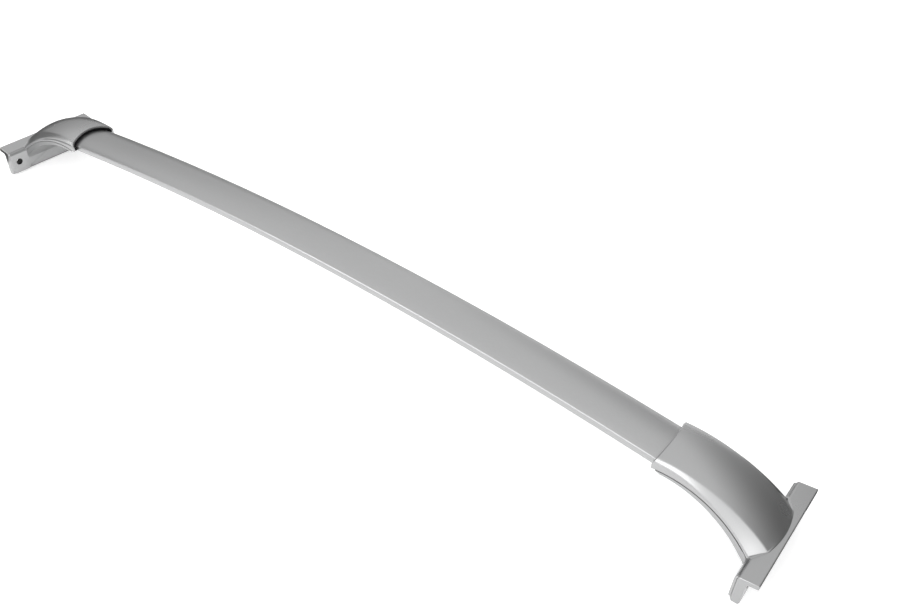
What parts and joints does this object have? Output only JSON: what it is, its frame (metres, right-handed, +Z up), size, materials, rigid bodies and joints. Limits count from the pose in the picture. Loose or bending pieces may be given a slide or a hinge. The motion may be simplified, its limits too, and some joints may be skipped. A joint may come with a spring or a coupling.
{
  "type": "roof rack crossbar",
  "caption": "Silver roof rack crossbar: bowed hollow bar with a curved bolt-on foot and drilled mounting plate at each end.",
  "frame": {"origin": "under the middle of the bar, level with the lowest edge of the feet", "axes": "+X along the bar, +Y to the bar's rear edge, +Z up"},
  "size_m": [1.115, 0.1352, 0.1001],
  "materials": {
    "silver_paint": "satin",
    "bar_finish": "satin",
    "rubber": "matte",
    "zinc_steel": "satin"
  },
  "bodies": {
    "root": {"bar": "bar_finish", "left_cover": "silver_paint", "right_cover": "silver_paint", "left_bracket": "silver_paint", "right_bracket": "silver_paint", "left_mouth_gasket": "rubber", "right_mouth_gasket": "rubber", "left_cradle_pad": "rubber", "right_cradle_pad": "rubber", "left_rail_pad": "rubber", "right_rail_pad": "rubber", "left_nut_plate": "zinc_steel", "right_nut_plate": "zinc_steel", "left_bar_screws": "zinc_steel", "right_bar_screws": "zinc_steel", "left_bar_washers": "zinc_steel", "right_bar_washers": "zinc_steel", "left_cover_screws": "zinc_steel", "right_cover_screws": "zinc_steel"}
  },
  "joints": []
}
